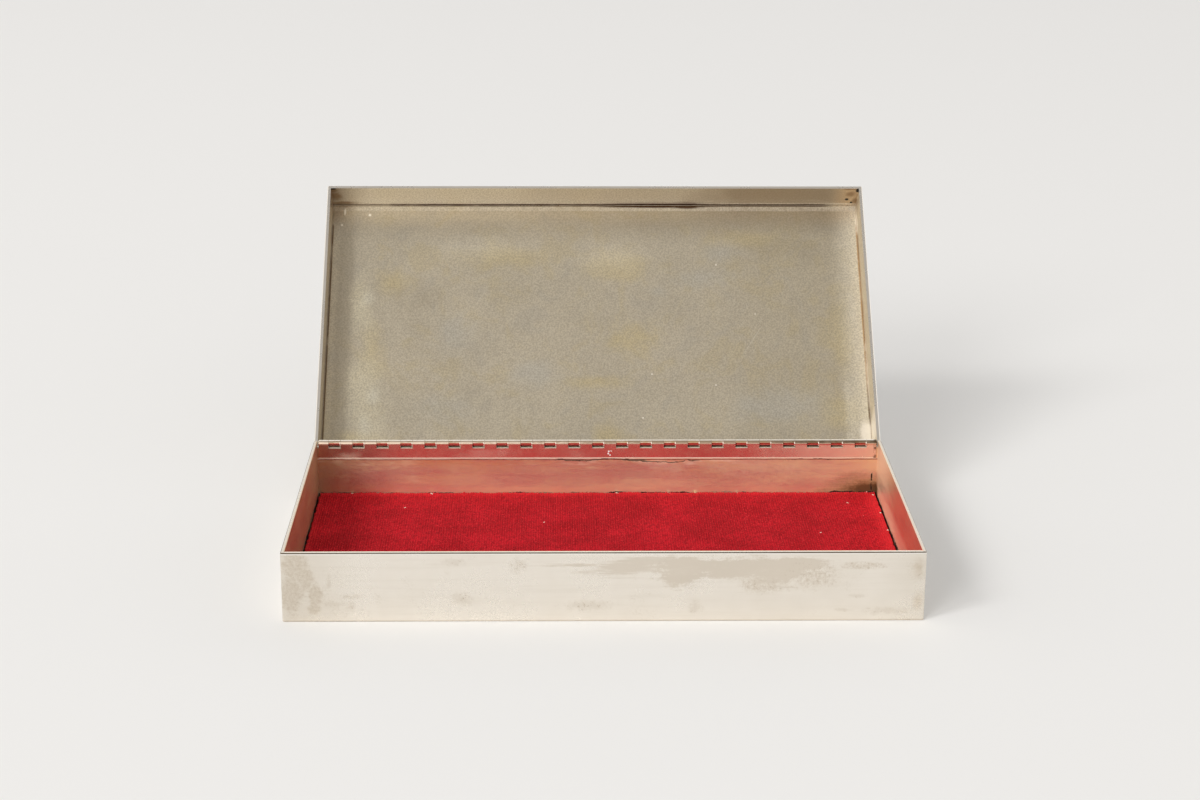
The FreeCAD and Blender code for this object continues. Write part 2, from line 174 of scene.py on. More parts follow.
class Look:
    """A material whose node tree is built by calls that return sockets."""

    def __init__(self, name):
        self.material = bpy.data.materials.new(name)
        self.material.use_nodes = True
        self.tree = self.material.node_tree
        self.shader = self.tree.nodes["Principled BSDF"]
        self.place = self.add("ShaderNodeTexCoord").outputs["Object"]
        self.x, self.y, self.z = self.axes(self.place)

    def add(self, kind, **settings):
        node = self.tree.nodes.new(kind)
        for key, value in settings.items():
            setattr(node, key, value)
        return node

    def put(self, socket, value):
        """Link a socket, or set a plain number, colour or vector."""
        if isinstance(value, bpy.types.NodeSocket):
            self.tree.links.new(value, socket)
        elif isinstance(value, (tuple, list)) and socket.type == "RGBA" and len(value) == 3:
            socket.default_value = (*value, 1)
        else:
            socket.default_value = value

    def math(self, operation, first, second=0.0, third=0.0):
        node = self.add("ShaderNodeMath", operation=operation)
        for socket, value in zip(node.inputs, (first, second, third)):
            self.put(socket, value)
        return node.outputs[0]

    def absolute(self, value):
        return self.math("ABSOLUTE", value)

    def times(self, *values):
        result = values[0]
        for value in values[1:]:
            result = self.math("MULTIPLY", result, value)
        return result

    def most(self, *values):
        result = values[0]
        for value in values[1:]:
            result = self.math("MAXIMUM", result, value)
        return result

    def moved(self, value, field, reach):
        """The value, moved by a field from 0 to 1, by reach where that is 1."""
        return self.math("MULTIPLY_ADD", field, reach, value)

    def shares(self, *parts):
        """The sum of fields, given as (field, share)."""
        field, share = parts[-1]
        result = self.math("MULTIPLY", field, share)
        for field, share in reversed(parts[:-1]):
            result = self.moved(result, field, share)
        return result

    def axes(self, vector):
        node = self.add("ShaderNodeSeparateXYZ")
        self.put(node.inputs[0], vector)
        return node.outputs

    def along(self, operation, vector, amounts):
        """Vector math of a place with three plain numbers."""
        node = self.add("ShaderNodeVectorMath", operation=operation)
        self.put(node.inputs[0], vector)
        node.inputs[1].default_value = amounts
        return node.outputs[0]

    def shut(self):
        """The place turned back to the shut lid, measured from the hinge's axis."""
        node = self.add("ShaderNodeVectorRotate", rotation_type="X_AXIS")
        self.put(node.inputs["Vector"], self.place)
        node.inputs["Center"].default_value = AXIS
        node.inputs["Angle"].default_value = OPEN
        return self.along("SUBTRACT", node.outputs[0], AXIS)

    def askew(self, vector, angle):
        """The place turned about Z, for marks that run askew."""
        node = self.add("ShaderNodeVectorRotate", rotation_type="Z_AXIS")
        self.put(node.inputs["Vector"], vector)
        node.inputs["Angle"].default_value = angle
        return node.outputs[0]

    def noise(self, size, detail=3.0, rough=0.55, vector=None, stretch=(1, 1, 1), distort=0.0, seed=0.0):
        """Noise from 0 to 1 whose features are about size across, longer where stretch is over 1."""
        node = self.add("ShaderNodeTexNoise", noise_dimensions="4D")
        scales = [1 / (size * pull) for pull in stretch]
        self.put(node.inputs["Vector"], self.along("MULTIPLY", vector or self.place, scales))
        node.inputs["W"].default_value = seed
        node.inputs["Scale"].default_value = 1
        node.inputs["Detail"].default_value = detail
        node.inputs["Roughness"].default_value = rough
        node.inputs["Distortion"].default_value = distort
        return node.outputs[0]

    def cells(self, size, seed=0.0):
        """Distance from the middle of the nearest of scattered cells, in cells."""
        node = self.add("ShaderNodeTexVoronoi", voronoi_dimensions="4D")
        self.put(node.inputs["Vector"], self.along("MULTIPLY", self.place, (1 / size,) * 3))
        node.inputs["W"].default_value = seed
        node.inputs["Scale"].default_value = 1
        return node.outputs["Distance"]

    def fade(self, value, start, end, low=0.0, high=1.0):
        """A smooth step of value from low at start to high at end."""
        node = self.add("ShaderNodeMapRange", interpolation_type="SMOOTHSTEP", clamp=True)
        backwards = start > end
        self.put(node.inputs["Value"], value)
        self.put(node.inputs["From Min"], end if backwards else start)
        self.put(node.inputs["From Max"], start if backwards else end)
        self.put(node.inputs["To Min"], high if backwards else low)
        self.put(node.inputs["To Max"], low if backwards else high)
        return node.outputs[0]

    def band(self, value, centre, half, soft):
        """1 within half of centre, falling to 0 over soft."""
        return self.fade(self.absolute(self.math("SUBTRACT", value, centre)), half + soft, half)

    def near(self, vector, centre, radii):
        """1 at the centre of an ellipsoid, 0 on it and less outside. A radius of None takes no part."""
        offset = self.along("SUBTRACT", vector, centre)
        in_radii = self.along("MULTIPLY", offset, [1 / radius if radius else 0 for radius in radii])
        length = self.add("ShaderNodeVectorMath", operation="LENGTH")
        self.put(length.inputs[0], in_radii)
        return self.math("SUBTRACT", 1.0, length.outputs["Value"])

    def patch(self, vector, spots, ragged, reach, soft):
        """A patch made of ellipsoids, (centre, radii) each, its edge moved by a ragged 0 to 1 field."""
        field = self.most(*[self.near(vector, *spot) for spot in spots])
        field = self.math("ADD", field, self.math("MULTIPLY_ADD", ragged, reach, -reach / 2))
        return self.fade(field, 0.0, soft)

    def blend(self, amount, first, second):
        node = self.add("ShaderNodeMix", data_type="RGBA")
        self.put(node.inputs["Factor"], amount)
        self.put(node.inputs[6], first)
        self.put(node.inputs[7], second)
        return node.outputs[2]

    def stain(self, base, *layers):
        """Colours laid over base, each (amount, colour)."""
        for amount, colour in layers:
            base = self.blend(amount, base, colour)
        return base

    def bump(self, height, strength, distance, before=None):
        node = self.add("ShaderNodeBump")
        self.put(node.inputs["Height"], height)
        node.inputs["Strength"].default_value = strength
        node.inputs["Distance"].default_value = distance
        if before is not None:
            self.put(node.inputs["Normal"], before)
        return node.outputs[0]

    def finish(self, **sockets):
        for name, value in sockets.items():
            self.put(self.shader.inputs[name.replace("_", " ")], value)
        return self.material


def dress(material, *names):
    for name in names:
        for slot in nodes[name].material_slots:
            slot.material = material


# ------------------------------------------------------------------------------------------------- all sheet

def worn_silver(look, seed):
    """What all the sheet shares: clouds, a fine grain, specks and wiped streaks.

    Gives the colour, the roughness, and the fine and the cloudy field."""
    cloud = look.noise(0.02, 3, 0.6, seed=seed)
    fine = look.noise(0.0006, 3, 0.7, seed=seed + 1)
    wiped = look.noise(0.0016, 3, 0.6, stretch=(20, 6, 1), seed=seed + 2)
    blotches = look.noise(0.014, 4, 0.65, seed=seed + 3)
    mottle = look.times(look.fade(blotches, 0.56, 0.70), look.fade(fine, 0.46, 0.60))
    colour = look.stain(SILVER,
                        (look.fade(cloud, 0.42, 0.75, 0.0, 0.22), DULL),
                        (look.fade(wiped, 0.45, 0.75, 0.0, 0.16), DULL),
                        (look.times(mottle, 0.45), DULL))
    rough = look.math("ADD", look.fade(cloud, 0.3, 0.7, 0.26, 0.33), look.fade(fine, 0.3, 0.7, -0.02, 0.02))
    return colour, rough, fine, cloud


# -------------------------------------------------------------------------------------------------- the base

def front_marks(look, specks, wipes, rags):
    """Layers of the base's front, with a painted highlight just under the rim, and how far it is dulled."""
    front = look.fade(look.y, 0.00055 - OUT_Y, 0.00025 - OUT_Y)
    strokes = look.shares((specks, 0.15), (wipes, 0.85))
    dots = look.fade(specks, 0.53, 0.66)
    streak = look.times(look.patch(look.place, STREAK, strokes, 3.4, 0.7), 0.9)
    body = look.times(look.patch(look.place, DULLED, rags, 3.6, 0.42), look.fade(rags, 0.36, 0.52, 0.8, 1.0))
    broken = look.times(look.patch(look.place, BROKEN, rags, 3.0, 0.7), look.fade(specks, 0.38, 0.52))
    bow = look.times(look.patch(look.place, BOW, rags, 2.4, 0.5), look.fade(specks, 0.40, 0.54, 0.50, 1.0))
    clusters = look.patch(look.place, CLUSTERS, look.noise(0.0018, 5, 0.7, seed=9), 2.2, 0.9)
    spotted = look.most(look.times(clusters, look.fade(dots, 0.0, 1.0, 0.3, 1.0)),
                        look.times(look.most(broken, look.times(bow, 0.8)), dots, 0.7))
    corner = look.patch(look.place, BROWN_CORNER, rags, 2.6, 1.4)
    ends = look.most(look.fade(look.x, -0.068, -0.090), look.fade(look.x, 0.078, 0.093, 0.0, 0.7))
    dulled = look.most(streak, body, look.times(broken, 0.9), look.times(bow, 0.9))
    # A pale line just under the rim: a painted highlight.
    under_rim_highlight = look.band(look.z, RIM - 0.00052, 0.00012, 0.00008)
    layers = [(look.times(front, ends, 0.45), DULL),
              (look.times(front, dulled), (0.73, 0.658, 0.562)),
              (look.times(front, spotted, 0.68), (0.50, 0.41, 0.30)),
              (look.times(front, bow, 0.28), (0.52, 0.44, 0.33)),
              (look.times(front, corner, 0.5), (0.62, 0.50, 0.36)),
              (look.times(front, under_rim_highlight, 0.8), (0.96, 0.93, 0.88))]
    return layers, dulled


def rim_and_foot(look, cloud):
    """Layers of the rim: its bevel painted dark, a painted dark reflection; its flat top painted pale and
    matt, a painted highlight, dimmer on the short sides; and the brownish lowest edge.

    Gives the layers and the rim's flat top, where the highlight is painted."""
    edge = look.most(look.fade(look.absolute(look.x), OUT_X - 0.00038, OUT_X - 0.00028),
                     look.fade(look.absolute(look.y), OUT_Y - 0.00038, OUT_Y - 0.00028))
    # The bevel is painted dark: a painted dark reflection.
    bevel = look.times(edge, look.fade(look.z, RIM - 0.00034, RIM - 0.00028))
    # The flat top is painted pale and matt: a painted highlight, dimmer on the short sides.
    top = look.fade(look.z, RIM - 0.00004, RIM - 0.00001)
    short_side = look.fade(look.absolute(look.x), IN_X - 0.0002, IN_X + 0.0001)
    foot = look.fade(look.z, 0.0007, 0.0002)
    layers = [(look.times(bevel, look.fade(cloud, 0.40, 0.60, 0.82, 1.0)), (0.20, 0.155, 0.105)),
              (top, look.blend(short_side, (0.97, 0.91, 0.81), (0.74, 0.67, 0.57))),
              (look.times(foot, 0.35), (0.50, 0.38, 0.26))]
    return layers, top


def film_marks(look, cloud, hollow, back):
    """Layers of the hollow's walls: a film in bands, brown at the left, a red painted reflection of the
    velvet on the right wall, and a painted warm glow and painted shine, brightest at the right.

    Gives the layers, the film, and how far they take the metal's shine."""
    bands = look.shares((look.noise(0.0011, 5, 0.7, stretch=(2, 2, 1), seed=11), 0.35),
                        (look.noise(0.0032, 5, 0.7, stretch=(9, 9, 1), seed=10), 0.65))
    film = look.times(hollow, look.fade(bands, 0.38, 0.62, 0.45, 1.0))
    smear = look.times(hollow, look.fade(bands, 0.50, 0.62), look.fade(cloud, 0.40, 0.55))
    right = look.fade(look.x, IN_X - 0.0003, IN_X)
    left = look.times(hollow, look.fade(look.x, 0.0003 - IN_X, -IN_X))
    # A red painted reflection of the velvet on the right wall.
    velvet_reflection_on_wall = look.times(hollow, right, look.fade(look.moved(look.y, bands, 0.02), 0.030, 0.008),
                         look.fade(bands, 0.40, 0.56, 0.35, 0.70))
    lower_or_back = look.most(look.fade(look.moved(look.z, bands, 0.006), 0.0150, 0.0105),
                              look.fade(look.y, 0.008, 0.036))
    # A painted warm glow, brightest at the right.
    glow = look.most(
        look.times(back, look.fade(look.x, 0.010, 0.090, 0.0, 0.62)),
        look.times(back, look.fade(look.z, 0.0135, 0.0060), look.fade(look.x, -0.070, -0.040, 0.0, 0.38)),
        look.times(right, lower_or_back, 0.95))
    glow = look.times(hollow, glow, look.fade(bands, 0.36, 0.60, 0.55, 1.0))
    streaks = look.noise(0.0026, 5, 0.7, stretch=(5, 1, 1), seed=15)
    # Painted shine in streaks low on the back wall.
    shine = look.times(back, look.fade(streaks, 0.50, 0.62),
                       look.band(look.z, SEAM - 0.00123, 0.0007, 0.0006), look.fade(look.x, 0.062, 0.04))
    browned = look.most(look.times(left, look.fade(cloud, 0.3, 0.6, 0.3, 0.6)),
                        look.times(hollow, look.fade(look.x, -0.072, -0.092, 0.0, 0.6)))
    high_on_back = look.times(back, look.fade(look.z, 0.0125, 0.0150))
    layers = [(film, look.blend(high_on_back, (0.88, 0.685, 0.42), (0.90, 0.61, 0.33))),
              (look.times(smear, 0.5), (0.92, 0.78, 0.56)),
              (velvet_reflection_on_wall, (0.92, 0.40, 0.28)),
              (glow, look.blend(right, (0.90, 0.66, 0.40), (0.97, 0.76, 0.53))),
              (look.times(shine, 0.6), (0.95, 0.74, 0.56)),
              (browned, (0.45, 0.27, 0.13))]
    matt = look.most(look.times(smear, 0.12), look.times(glow, 0.40), look.times(shine, 0.3))
    return layers, film, matt


def seam_marks(look, cloud, rags, hollow, back):
    """Layers of the hollow's seams: a pale fillet under the leaf with a red-brown painted shadow line along
    it, and in the middle a darker crack that wanders, painted shade where the velvet's edge meets the walls,
    the notch floor painted pale and matt as a painted highlight, and a scorch in the back right corner.

    Gives the layers, the darkened parts (dark lines and the painted shade above the velvet), and how far they
    take the metal's shine."""
    wave = look.noise(0.0045, 5, 0.7, stretch=(2, 2, 1), seed=12)
    wander = look.moved(look.z, look.noise(0.009, 4, 0.6, seed=13), 0.0040)
    fillet = look.times(back, look.band(look.z, SEAM, 0.00015, 0.00006))
    # A red-brown painted shadow line below the leaf's pale edge.
    line = look.times(back, look.band(look.moved(look.z, wave, 0.0005), SEAM - 0.00003, 0.00010, 0.00010))
    crack = look.most(*[look.times(look.band(look.x, *along), look.band(wander, SEAM + rise, *width))
                        for along, rise, width in CRACKS])
    crack = look.times(back, look.fade(wave, 0.42, 0.50), crack)
    # Painted shade where the velvet's edge meets the walls.
    level = look.moved(look.z, wave, -0.0036)
    shade_above_velvet = look.times(hollow, look.fade(level, velvet_high.z - 0.00172, velvet_high.z - 0.00186),
                              look.fade(cloud, 0.40, 0.50, 0.35, 1.0))
    upright = look.times(back, look.band(look.x, 0.0921, 0.00018, 0.00015), look.fade(look.z, 0.0112, 0.0100),
                         look.fade(look.noise(0.0012, 2, 0.6, seed=14), 0.42, 0.5))
    dirt_and_shade = look.most(shade_above_velvet, look.times(crack, 0.85), upright)
    soot = look.math("ADD", look.near(look.place, *SCORCH), look.math("MULTIPLY_ADD", rags, 1.6, -0.8))
    scorch = look.times(hollow, look.fade(soot, 0.10, 0.75))
    char = look.times(hollow, look.fade(soot, 0.48, 0.85))
    # The notch floor is painted pale and matt: a painted highlight.
    notch_floor = look.times(look.band(look.z, AXIS.z - NOTCH_DROP, 0.00003, 0.00002),
                             look.fade(look.y, IN_Y - 0.00055, IN_Y - 0.00035))
    layers = [(look.times(scorch, 0.88), (0.34, 0.18, 0.07)),
              (look.times(char, 0.80), (0.08, 0.04, 0.015)),
              (look.times(fillet, look.fade(look.x, -0.010, 0.020, 1.0, 0.5)), FILLET),
              (line, (0.28, 0.035, 0.02)),
              (notch_floor, (0.96, 0.89, 0.74)),
              (dirt_and_shade, (0.03, 0.014, 0.008))]
    matt = look.most(look.times(scorch, 0.5), look.times(shade_above_velvet, 0.6), look.times(fillet, 0.8),
                     look.times(notch_floor, 0.8))
    return layers, dirt_and_shade, matt


def base_silver():
    """The base's walls and plate: satin silver with dulled, speckled patches, and a yellow film inside."""
    look = Look("silver_base")
    colour, rough, _, cloud = worn_silver(look, 1)
    specks = look.noise(0.0011, 4, 0.75, seed=6)
    wipes = look.noise(0.0014, 5, 0.65, stretch=(12, 12, 1), seed=7)
    rags = look.shares((specks, 0.20), (wipes, 0.28),
                       (look.noise(0.0055, 6, 0.7, stretch=(2.2, 2.2, 1), seed=5), 0.52))
    hollow = look.times(look.band(look.x, 0.0, IN_X + 0.0002, 0.0001),
                        look.band(look.y, 0.0, IN_Y + 0.00025, 0.0001))
    back = look.times(hollow, look.fade(look.y, IN_Y - 0.00055, IN_Y - 0.00025))
    front, dulled = front_marks(look, specks, wipes, rags)
    rim, top = rim_and_foot(look, cloud)
    films, film, film_matt = film_marks(look, cloud, hollow, back)
    seams, dirt_and_shade, seam_matt = seam_marks(look, cloud, rags, hollow, back)
    colour = look.stain(colour, *front, *rim, *films, *seams)
    rough = look.moved(look.moved(rough, dulled, 0.07), film, 0.10)
    rough = look.moved(rough, dirt_and_shade, 0.4)
    metal = look.math("SUBTRACT", look.moved(1.0, film, -0.18),
                      look.most(film_matt, seam_matt, look.times(top, 0.85)))
    grain = look.noise(0.0004, 4, 0.7, stretch=(40, 1, 1), seed=2)
    dents = look.bump(look.noise(0.012, 2, 0.5, seed=8), 0.10, 0.0006)
    return look.finish(Base_Color=colour, Metallic=metal, Roughness=rough,
                       Normal=look.bump(grain, 0.05, 0.00004, dents))


# --------------------------------------------------------------------------------------------------- the lid

class LidLook(Look):
    """The lid's look. Its places are those of the shut lid, from the hinge's axis, v running forwards."""

    def __init__(self, name):
        super().__init__(name)
        self.place = self.shut()
        self.x, depth, self.height = self.axes(self.place)
        self.v = self.math("MULTIPLY", depth, -1.0)
        self.small = self.noise(0.004, 5, 0.7, seed=41)
        self.smoke = self.noise(0.016, 5, 0.62, distort=0.7, seed=42)
        self.inner = self.times(self.band(self.x, 0.0, IN_X + 0.0002, 0.0001),
                                self.fade(self.height, LID_PLATE + 0.00012, LID_PLATE + 0.00007),
                                self.fade(self.v, LID_FAR + 0.00018, LID_FAR + 0.00008),
                                self.fade(self.height, LID_RIM, LID_RIM + 0.00004),
                                self.fade(self.v, LID_NEAR - 0.0003, LID_NEAR - 0.0001))
        self.plate = self.times(self.inner, self.fade(self.height, LID_PLATE - 0.00013, LID_PLATE - 0.00003))
        self.strip = self.times(self.inner, self.fade(self.v, LID_FAR - 0.00017, LID_FAR - 0.00007))


def plate_marks(look):
    """Layers inside the lid: clouds and patches on its plate, painted shade and a painted highlight on it,
    and its front wall, dim at the right.

    Gives the layers and the painted highlight."""
    x, v, small, smoke = look.x, look.v, look.small, look.smoke
    clouds = look.noise(0.013, 4, 0.6, distort=1.0, seed=48)
    yellow = look.patch(look.place, YELLOW, smoke, 2.4, 1.0)
    cool = look.patch(look.place, COOL, smoke, 2.2, 1.0)
    warm = look.patch(look.place, WARM, smoke, 1.6, 1.0)
    warmest = look.patch(look.place, WARMEST, smoke, 1.4, 1.2)
    # A painted highlight along the right of the plate and in spots.
    painted_shine = look.most(
        look.fade(look.moved(x, small, 0.003), 0.0835, 0.0960),
        look.times(look.fade(look.moved(x, small, 0.004), 0.0860, 0.0890), look.fade(v, 0.055, 0.020), 0.6),
        look.times(look.patch(look.place, HIGHLIGHT_SPOTS, smoke, 1.6, 1.4), 0.35))
    # Painted shade below the far seam and beside the left wall, and in spots.
    dim = look.most(
        look.times(look.fade(look.moved(v, small, 0.010), 0.090, 0.101),
                   look.fade(x, -0.030, 0.030, 0.55, 1.0)),
        look.times(look.band(look.moved(x, small, 0.003), -0.0868, 0.0014, 0.0026), 0.75),
        look.times(look.patch(look.place, DIM, smoke, 2.0, 1.0), 0.45))
    along = look.moved(x, smoke, 0.02)
    strip_dim = look.most(look.fade(along, -0.025, -0.005, 0.0, 0.24), look.fade(along, 0.032, 0.062),
                          look.fade(x, -0.078, -0.092, 0.0, 0.6))
    satin = look.blend(look.fade(x, 0.030, 0.070), (0.685, 0.597, 0.438), (0.655, 0.565, 0.400))
    layers = [(look.times(look.inner, 0.86), satin),
              (look.times(look.plate, look.fade(clouds, 0.50, 0.64), 0.35), (0.70, 0.58, 0.34)),
              (look.times(look.plate, look.fade(clouds, 0.46, 0.34), 0.35), (0.58, 0.53, 0.44)),
              (look.times(look.plate, yellow, 0.75), (0.76, 0.63, 0.37)),
              (look.times(look.plate, cool, 0.60), (0.68, 0.64, 0.55)),
              (look.times(look.plate, dim, 0.50), (0.40, 0.33, 0.23)),
              (look.times(look.plate, warm, 0.66), (0.91, 0.82, 0.60)),
              (look.times(look.plate, warmest, 0.60), (0.98, 0.93, 0.76)),
              (look.times(look.plate, painted_shine, 0.85), (0.95, 0.88, 0.72)),
              (look.times(look.strip, 0.72), (0.84, 0.80, 0.70)),
              (look.times(look.strip, strip_dim, 0.8), (0.36, 0.28, 0.20)),
              (look.times(look.strip, look.fade(x, 0.083, 0.091, 0.0, 0.7)), (0.66, 0.47, 0.27))]
    return layers, painted_shine


def grain_marks(look):
    """Layers of a pale band beside the far seam, of the grain and of scratches that run askew.

    Gives the layers and the grain."""
    v, height = look.v, look.height
    beside_seam = look.times(look.most(look.band(v, 0.1004, 0.0006, 0.0006),
                                       look.band(height, 0.0110, 0.0004, 0.0005)),
                             look.fade(v, 0.0985, 0.0995), look.fade(height, 0.0098, 0.0104),
                             look.fade(look.small, 0.36, 0.56, 0.6, 1.0),
                             look.fade(look.x, -0.04, 0.05, 0.35, 0.55))
    grain = look.fade(look.noise(0.0006, 4, 0.75, seed=46), 0.40, 0.60)
    hairs = look.noise(0.0005, 2, 0.5, vector=look.askew(look.place, -0.55), stretch=(1, 60, 1), seed=47)
    scratches = look.times(look.fade(hairs, 0.62, 0.70),
                           look.patch(look.place, SCRATCHED, look.smoke, 2.0, 1.2))
    layers = [(look.times(look.inner, beside_seam), (0.96, 0.91, 0.80)),
              (look.times(look.inner, grain, 0.38), (0.28, 0.225, 0.15)),
              (look.times(look.plate, scratches, 0.35), (0.90, 0.86, 0.74))]
    return layers, grain


def solder_marks(look, fine):
    """Layers of the lid's seams and far corners, browned and black, and of drops of solder and pale dust.

    Gives the layers, the solder and the dust."""
    x, v, height, small = look.x, look.v, look.height, look.small
    broken = look.noise(0.009, 4, 0.7, stretch=(2, 2, 1), seed=43)
    at_plate = look.fade(height, 0.0112, 0.0114)
    far_seam = look.times(look.band(v, 0.10172, 0.00022, 0.00016), at_plate, look.fade(x, 0.0860, 0.0800),
                          look.fade(broken, 0.30, 0.46, 0.45, 1.0))
    thick = look.times(look.patch(look.place, THICK_SEAM, broken, 0.8, 0.6),
                       look.fade(height, 0.0108, 0.0112))
    fainter_left = look.moved(0.45, look.fade(x, -0.0745, -0.0725), 0.5)
    side_seams = look.times(look.band(look.absolute(x), 0.09355, 0.00026, 0.0002), at_plate,
                            look.fade(v, 0.0945, 0.0925), look.fade(broken, 0.32, 0.48, 0.4, 1.0))
    right_seam = look.blend(look.fade(v, 0.034, 0.022), (0.50, 0.31, 0.14), (0.15, 0.08, 0.03))
    stains = look.most(look.patch(look.place, LEFT_STAIN, small, 1.0, 0.8),
                       look.patch(look.place, RIGHT_STAIN, small, 1.1, 0.8))
    black = look.most(look.patch(look.place, LEFT_BLACK, small, 0.5, 0.5),
                      look.patch(look.place, RIGHT_BLACK, small, 0.5, 0.4))
    solder = look.most(look.patch(look.place, SEAM_SOLDER, small, 1.0, 0.6),
                       look.patch(look.place, PLATE_SOLDER, fine, 0.8, 0.5))
    dust = look.times(look.fade(look.cells(0.006, seed=44), 0.05, 0.03),
                      look.fade(look.noise(0.03, 2, 0.5, seed=45), 0.42, 0.55))
    layers = [(look.times(look.inner, stains, look.fade(v, 0.094, 0.1), 0.75), (0.22, 0.12, 0.05)),
              (look.times(look.inner, look.most(far_seam, thick), fainter_left), (0.085, 0.038, 0.015)),
              (look.times(look.inner, side_seams, 0.85),
               look.blend(look.fade(x, 0.0, 0.001), (0.13, 0.07, 0.03), right_seam)),
              (look.times(look.inner, black, look.fade(v, 0.101, 0.1016)), (0.015, 0.008, 0.005)),
              (look.times(look.inner, look.most(solder, look.times(dust, 0.8)), 0.85), (0.90, 0.83, 0.71))]
    return layers, solder, dust


def lid_silver():
    """The lid: outside as the base, inside yellowed satin with painted shade in bands beside two of its
    seams.
    """
    look = LidLook("silver_lid")
    colour, rough, fine, cloud = worn_silver(look, 31)
    plate, painted_shine = plate_marks(look)
    grained, grain = grain_marks(look)
    soldered, solder, dust = solder_marks(look, fine)
    colour = look.stain(colour, *plate, *grained, *soldered)
    rough = look.math("ADD", look.moved(rough, look.inner, 0.05),
                      look.fade(look.small, 0.3, 0.7, -0.02, 0.03))
    matt = look.moved(0.2, look.most(solder, dust, look.times(painted_shine, 0.5)), 0.5)
    metal = look.math("SUBTRACT", 1.0, look.times(look.inner, matt))
    return look.finish(Base_Color=colour, Metallic=metal, Roughness=rough,
                       Normal=look.bump(grain, 0.10, 0.00003, look.bump(cloud, 0.1, 0.0008)))


# ------------------------------------------------------------------------------------------------- the hinge

class HingeLook(Look):
    """The hinge's look. drop is measured down from its axis, and behind from the front of its barrel."""

    def __init__(self, name):
        super().__init__(name)
        self.cloud = self.noise(0.006, 4, 0.65, seed=21)
        self.small = self.noise(0.0012, 3, 0.65, seed=22)
        self.drop = self.math("SUBTRACT", AXIS.z, self.z)
        self.behind = self.math("SUBTRACT", self.y, AXIS.y - BARREL)
        # Where x lies in the hinge's pitch, from the middle of the nearest knuckle of the lid.
        self.across = self.math("WRAP", self.x, PITCH / 2, -PITCH / 2)
        self.of_lid = self.band(self.across, 0.0, HALF_KNUCKLE, 0.00001)
        self.barrel = self.times(
            self.most(self.fade(self.drop, 0.00002, -0.00002), self.fade(self.behind, 0.00003, 0.00006)),
            self.fade(self.drop, 0.00126, 0.00124))


def barrel_marks(look):
    """Layers of the barrel: a painted highlight along its top, and tarnish with painted shade along its
    front, more so to the right; on the lid's knuckles a golden stain and a red painted reflection of the
    velvet.

    Gives the layers, the painted highlight along the top, and the dulled parts, tarnished and with painted
    shade."""
    of_base = look.math("SUBTRACT", 1.0, look.of_lid)
    worn = look.noise(0.0005, 4, 0.7, stretch=(5, 1, 1), seed=25)
    # A painted highlight along the top, white and matt.
    crest_highlight = look.times(look.fade(look.behind, 0.00062, 0.00082), look.fade(look.drop, 0.0, -0.0003))
    front = look.times(look.fade(look.behind, 0.00078, 0.00060), look.fade(look.drop, -0.00010, -0.00034))
    duller = look.moved(look.fade(look.x, -0.09, 0.08, -0.35, 0.30), worn, 1.2)
    # Tarnish, and painted shade along the front.
    dull_and_shaded = look.times(front, look.most(look.times(of_base, look.fade(duller, 0.38, 0.66, 0.45, 1.0)),
                                       look.times(look.of_lid, look.fade(duller, 0.55, 0.85, 0.1, 1.0))))
    golden = look.times(look.barrel, look.of_lid, look.band(look.drop, -0.00062, 0.00030, 0.00012),
                        look.fade(worn, 0.42, 0.56, 0.15, 0.75))
    # A red painted reflection of the velvet on the lid's knuckles.
    velvet_reflection_on_knuckles = look.times(look.barrel, look.of_lid, look.band(look.drop, -0.00012, 0.00026, 0.00012))
    deep = look.times(front, look.fade(look.x, 0.045, 0.075), look.fade(worn, 0.42, 0.52, 0.5, 1.0))
    layers = [(crest_highlight, (1.0, 0.95, 0.86)),
              (look.times(dull_and_shaded, 0.88), (0.30, 0.22, 0.14)),
              (golden, (0.52, 0.38, 0.20)),
              (velvet_reflection_on_knuckles, (0.46, 0.065, 0.045)),
              (look.times(deep, 0.75), (0.10, 0.07, 0.04))]
    return layers, crest_highlight, look.most(deep, dull_and_shaded)


def leaf_marks(look):
    """Layers of the base's leaf: pale patches, peach at the right, burnt at the left, a fillet at its edge.

    Gives the layers and how far they take the metal's shine."""
    patches = look.noise(0.012, 3, 0.6, stretch=(2, 1, 1), seed=24)
    pale = look.times(look.fade(look.drop, 0.0014, 0.0022),
                      look.most(look.patch(look.place, LEAF_PALE, look.cloud, 2.0, 1.4),
                                look.fade(patches, 0.54, 0.78, 0.0, 0.5)))
    peach = look.times(look.fade(look.drop, 0.0002, 0.0006),
                       look.fade(look.moved(look.x, look.cloud, 0.012), 0.050, 0.092))
    burnt = look.times(look.fade(look.drop, 0.0, 0.0006), look.fade(look.x, -0.070, -0.090))
    lower = look.fade(look.drop, LEAF_DROP - 0.00038, LEAF_DROP - 0.00030)
    layers = [(look.times(pale, 0.35), (0.88, 0.74, 0.58)),
              (look.times(peach, 0.62), (0.92, 0.58, 0.40)),
              (look.times(burnt, 0.5), (0.45, 0.22, 0.12)),
              (look.times(lower, look.fade(look.x, -0.010, 0.020, 1.0, 0.55)), FILLET)]
    return layers, look.most(look.times(pale, 0.35), look.times(lower, 0.95), look.times(peach, 0.38))


